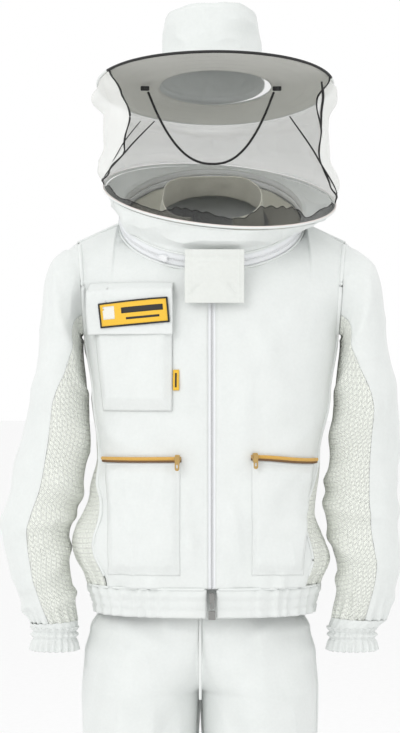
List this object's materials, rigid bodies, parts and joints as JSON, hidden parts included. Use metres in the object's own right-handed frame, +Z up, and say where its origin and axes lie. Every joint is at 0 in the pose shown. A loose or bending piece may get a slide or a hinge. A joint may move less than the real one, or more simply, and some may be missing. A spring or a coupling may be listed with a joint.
{
  "type": "beekeeping suit",
  "caption": "White cotton beekeeping suit: zip-front jacket with mesh sides and sleeves, a zip-on hood with brimmed hat and black net veil, and matching trousers.",
  "frame": {"origin": "middle of the neck opening, level with the shoulders beside the neck, where the suit hangs on its wearer", "axes": "+Z up, the front faces -Y, the wearer's left is +X"},
  "size_m": [0.6334, 0.375, 1.8701],
  "materials": {
    "cotton_twill": "matt cotton twill",
    "vent_mesh": "quilted ventilated mesh",
    "white_net": "fine white net",
    "black_net": "fine black tulle",
    "zip_tape": "woven tape with moulded teeth",
    "gold_piping": "satin piping",
    "yellow_badge": "woven badge",
    "zip_metal": "dark satin metal",
    "black_elastic": "braided elastic"
  },
  "bodies": {
    "garment": {"front_panel_left": "cotton_twill", "front_panel_right": "cotton_twill", "back_panel": "cotton_twill", "hem_band_left": "cotton_twill", "hem_band_right": "cotton_twill", "sleeve_left": "cotton_twill", "sleeve_right": "cotton_twill", "cuff_left": "cotton_twill", "cuff_right": "cotton_twill", "neck_yoke": "cotton_twill", "inner_collar": "cotton_twill", "chest_pocket": "cotton_twill", "lower_pocket_left": "cotton_twill", "lower_pocket_right": "cotton_twill", "trouser_front_left": "cotton_twill", "trouser_front_right": "cotton_twill", "trouser_back_left": "cotton_twill", "trouser_back_right": "cotton_twill", "ankle_band_left": "cotton_twill", "ankle_band_right": "cotton_twill", "trouser_waistband": "cotton_twill", "side_mesh_left": "vent_mesh", "side_mesh_right": "vent_mesh", "sleeve_mesh_left": "vent_mesh", "sleeve_mesh_right": "vent_mesh", "neck_zip_lower_tape": "zip_tape", "front_zip_tape_left": "zip_tape", "front_zip_tape_right": "zip_tape", "front_zip_retainer_box": "zip_metal", "pocket_piping_left": "gold_piping", "pocket_piping_right": "gold_piping", "pocket_tag": "yellow_badge"},
    "hood": {"hat_brim": "cotton_twill", "hat_crown": "cotton_twill", "veil_hoop": "cotton_twill", "face_net": "black_net", "rear_veil": "white_net", "hood_bib": "cotton_twill", "hood_back": "cotton_twill", "neck_zip_upper_tape": "zip_tape", "cord_tab_left": "black_elastic", "cord_tab_right": "black_elastic", "chin_cord": "black_elastic"},
    "throat_flap": {"throat_flap": "cotton_twill"},
    "chest_flap": {"chest_pocket_flap": "cotton_twill", "pocket_badge": "yellow_badge"},
    "front_top_slider": {"front_zip_top_slider": "zip_metal"},
    "front_lower_slider": {"front_zip_lower_slider": "zip_metal"},
    "front_lower_pull": {"front_zip_lower_pull": "zip_metal"},
    "neck_slider": {"neck_zip_slider": "zip_metal"},
    "left_pocket_slider": {"pocket_left_slider": "zip_metal"},
    "left_pocket_pull": {"pocket_left_pull": "zip_metal"},
    "right_pocket_slider": {"pocket_right_slider": "zip_metal"},
    "right_pocket_pull": {"pocket_right_pull": "zip_metal"}
  },
  "joints": [
    {"name": "hood_flip", "type": "hinge", "parent": "garment", "child": "hood", "pos_m": [0, 0.1265, 0.076], "axis": [-1, 0, 0], "range_deg": [0, 85]},
    {"name": "throat_flap_hinge", "type": "hinge", "parent": "hood", "child": "throat_flap", "pos_m": [0.004, -0.1525, -0.0565], "axis": [-1, 0, 0], "range_deg": [0, 115]},
    {"name": "chest_flap_hinge", "type": "hinge", "parent": "garment", "child": "chest_flap", "pos_m": [-0.1215, -0.1055, -0.111], "axis": [-0.9274, 0.374, 0], "range_deg": [0, 105]},
    {"name": "front_top_slider_slide", "type": "slide", "parent": "garment", "child": "front_top_slider", "axis": [0, 0, -1], "range_m": [0, 0.22]},
    {"name": "front_lower_slider_slide", "type": "slide", "parent": "garment", "child": "front_lower_slider", "axis": [0, 0, 1], "range_m": [0, 0.22]},
    {"name": "front_lower_pull_hinge", "type": "hinge", "parent": "front_lower_slider", "child": "front_lower_pull", "pos_m": [0, -0.138, -0.5955], "axis": [-1, 0, 0], "range_deg": [0, 120]},
    {"name": "neck_slider_travel", "type": "hinge", "parent": "garment", "child": "neck_slider", "pos_m": [0, 0, -0.004], "axis": [0, -0.5299, 0.848], "range_deg": [-60, 0]},
    {"name": "left_pocket_slider_slide", "type": "slide", "parent": "garment", "child": "left_pocket_slider", "axis": [0.9553, 0.2957, 0], "range_m": [0, 0.05]},
    {"name": "left_pocket_pull_hinge", "type": "hinge", "parent": "left_pocket_slider", "child": "left_pocket_pull", "pos_m": [0.06794, -0.13808, -0.3785], "axis": [-0.9781, -0.2083, 0], "range_deg": [0, 120]},
    {"name": "right_pocket_slider_slide", "type": "slide", "parent": "garment", "child": "right_pocket_slider", "axis": [-0.9781, 0.2079, 0], "range_m": [0, 0.05]},
    {"name": "right_pocket_pull_hinge", "type": "hinge", "parent": "right_pocket_slider", "child": "right_pocket_pull", "pos_m": [-0.0539, -0.14101, -0.3815], "axis": [-0.9909, 0.1345, 0], "range_deg": [0, 120]}
  ]
}
